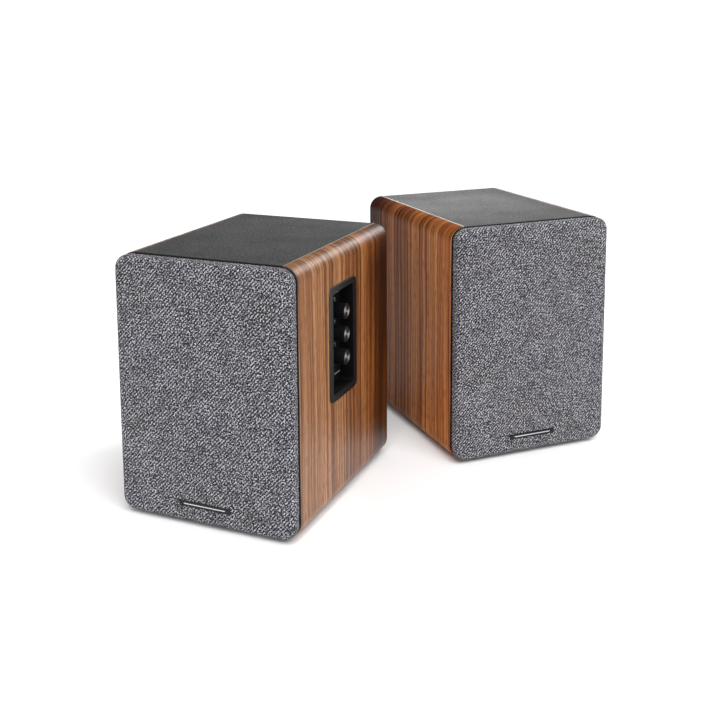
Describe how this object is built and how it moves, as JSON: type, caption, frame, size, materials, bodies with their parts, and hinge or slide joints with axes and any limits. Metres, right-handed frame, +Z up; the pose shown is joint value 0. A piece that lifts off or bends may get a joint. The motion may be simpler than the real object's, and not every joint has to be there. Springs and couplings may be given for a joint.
{
  "type": "desktop speakers",
  "caption": "Two-way desktop speakers: a powered one with side controls and its passive partner, wood-look sides and pull-off cloth grilles.",
  "frame": {"origin": "middle of the pair's footprint, on the table", "axes": "+Z up; the active speaker faces -Y with +X to its right seen from the front; the passive speaker stands behind and to its right, turned 45.3 degrees about +Z"},
  "size_m": [0.3602, 0.4706, 0.233],
  "materials": {
    "walnut_veneer": "striped walnut-look foil over fibreboard, satin",
    "charcoal_vinyl": "charcoal vinyl with a fine leather grain over fibreboard",
    "black_fibreboard": "black painted fibreboard, matte",
    "grille_cloth": "heather grey twill speaker cloth",
    "black_plastic": "moulded black plastic, fine texture",
    "gloss_badge": "gloss black bar",
    "red_plastic": "moulded red plastic",
    "black_steel": "black powder-coated steel sheet",
    "moulded_rubber": "matte black rubber",
    "paper_pulp": "black coated paper pulp",
    "doped_cloth": "impregnated woven cloth",
    "copper_coil": "enamelled copper winding on a thin former",
    "magnet_steel": "dark ferrite and zinc-plated steel",
    "circuit_board": "green circuit board with parts",
    "zinc_steel": "zinc-plated or turned bright metal"
  },
  "bodies": {
    "cabinets": {"active_front_baffle": "black_fibreboard", "active_rear_panel": "black_fibreboard", "active_side_panel_left": "walnut_veneer", "active_side_panel_right": "walnut_veneer", "active_top_panel": "charcoal_vinyl", "active_tweeter_faceplate": "black_plastic", "active_woofer_basket": "black_steel", "active_woofer_spider": "doped_cloth", "active_woofer_surround": "moulded_rubber", "amp_board": "circuit_board", "amp_plate": "black_steel", "bottom_panels": "charcoal_vinyl", "control_bezel": "black_plastic", "control_board": "circuit_board", "crossover_board": "circuit_board", "grille_sockets": "black_plastic", "input_jacks": "black_plastic", "mains_inlet": "black_plastic", "passive_front_baffle": "black_fibreboard", "passive_rear_panel": "black_fibreboard", "passive_side_panel_left": "walnut_veneer", "passive_side_panel_right": "walnut_veneer", "passive_top_panel": "charcoal_vinyl", "passive_tweeter_faceplate": "black_plastic", "passive_woofer_basket": "black_steel", "passive_woofer_spider": "doped_cloth", "passive_woofer_surround": "moulded_rubber", "port_tubes": "black_plastic", "power_switch": "black_plastic", "rubber_feet": "moulded_rubber", "spring_clips": "black_plastic", "transformer": "magnet_steel", "tweeter_motors": "magnet_steel", "wood_screws": "zinc_steel", "woofer_motors": "magnet_steel"},
    "active_grille": {"active_grille_frame": "black_plastic", "active_grille_cloth": "grille_cloth", "active_badge": "gloss_badge"},
    "passive_grille": {"passive_grille_frame": "black_plastic", "passive_grille_cloth": "grille_cloth", "passive_badge": "gloss_badge"},
    "active_woofer_diaphragm": {"active_woofer_cone": "paper_pulp", "active_woofer_dust_cap": "paper_pulp", "active_woofer_voice_coil": "copper_coil"},
    "passive_woofer_diaphragm": {"passive_woofer_cone": "paper_pulp", "passive_woofer_dust_cap": "paper_pulp", "passive_woofer_voice_coil": "copper_coil"},
    "active_tweeter_diaphragm": {"active_tweeter_dome": "doped_cloth"},
    "passive_tweeter_diaphragm": {"passive_tweeter_dome": "doped_cloth"},
    "volume_control": {"volume_knob": "black_plastic", "volume_shaft": "zinc_steel"},
    "treble_control": {"treble_knob": "black_plastic", "treble_shaft": "zinc_steel"},
    "bass_control": {"bass_knob": "black_plastic", "bass_shaft": "zinc_steel"},
    "rocker": {"power_rocker": "black_plastic"},
    "active_red_lever": {"active_clip_lever_red": "red_plastic"},
    "active_black_lever": {"active_clip_lever_black": "black_plastic"},
    "passive_red_lever": {"passive_clip_lever_red": "red_plastic"},
    "passive_black_lever": {"passive_clip_lever_black": "black_plastic"}
  },
  "joints": [
    {"name": "active_grille_pull", "type": "slide", "parent": "cabinets", "child": "active_grille", "axis": [0, -1, 0], "range_m": [0, 0.03]},
    {"name": "active_woofer_stroke", "type": "slide", "parent": "cabinets", "child": "active_woofer_diaphragm", "axis": [0, -1, 0], "range_m": [-0.003, 0.003], "stiffness_N_per_m": 1250, "deforming": ["active_woofer_surround", "active_woofer_spider"]},
    {"name": "active_tweeter_stroke", "type": "slide", "parent": "cabinets", "child": "active_tweeter_diaphragm", "axis": [0, -1, 0], "range_m": [-0.0003, 0.0003], "stiffness_N_per_m": 50},
    {"name": "passive_grille_pull", "type": "slide", "parent": "cabinets", "child": "passive_grille", "axis": [0.7108, -0.7034, 0], "range_m": [0, 0.03]},
    {"name": "passive_woofer_stroke", "type": "slide", "parent": "cabinets", "child": "passive_woofer_diaphragm", "axis": [0.7108, -0.7034, 0], "range_m": [-0.003, 0.003], "stiffness_N_per_m": 1250, "deforming": ["passive_woofer_surround", "passive_woofer_spider"]},
    {"name": "passive_tweeter_stroke", "type": "slide", "parent": "cabinets", "child": "passive_tweeter_diaphragm", "axis": [0.7108, -0.7034, 0], "range_m": [-0.0003, 0.0003], "stiffness_N_per_m": 50},
    {"name": "volume_turn", "type": "hinge", "parent": "cabinets", "child": "volume_control", "pos_m": [-0.01013, -0.13148, 0.1741], "axis": [1, 0, 0], "range_deg": [-150, 150]},
    {"name": "treble_turn", "type": "hinge", "parent": "cabinets", "child": "treble_control", "pos_m": [-0.01013, -0.13148, 0.1532], "axis": [1, 0, 0], "range_deg": [-150, 150]},
    {"name": "bass_turn", "type": "hinge", "parent": "cabinets", "child": "bass_control", "pos_m": [-0.01013, -0.13148, 0.1323], "axis": [1, 0, 0], "range_deg": [-150, 150]},
    {"name": "power_rock", "type": "hinge", "parent": "cabinets", "child": "rocker", "pos_m": [-0.05513, -0.02348, 0.11], "axis": [-1, 0, 0], "range_deg": [0, 14]},
    {"name": "active_red_press", "type": "hinge", "parent": "cabinets", "child": "active_red_lever", "pos_m": [-0.10712, -0.02448, 0.117], "axis": [-1, 0, 0], "range_deg": [0, 18], "stiffness_Nm_per_rad": 0.05},
    {"name": "active_black_press", "type": "hinge", "parent": "cabinets", "child": "active_black_lever", "pos_m": [-0.09112, -0.02448, 0.117], "axis": [-1, 0, 0], "range_deg": [0, 18], "stiffness_Nm_per_rad": 0.05},
    {"name": "passive_red_press", "type": "hinge", "parent": "cabinets", "child": "passive_red_lever", "pos_m": [-0.03036, 0.1688, 0.083], "axis": [-0.7034, -0.7108, 0], "range_deg": [0, 18], "stiffness_Nm_per_rad": 0.05},
    {"name": "passive_black_press", "type": "hinge", "parent": "cabinets", "child": "passive_black_lever", "pos_m": [-0.0191, 0.18017, 0.083], "axis": [-0.7034, -0.7108, 0], "range_deg": [0, 18], "stiffness_Nm_per_rad": 0.05}
  ]
}
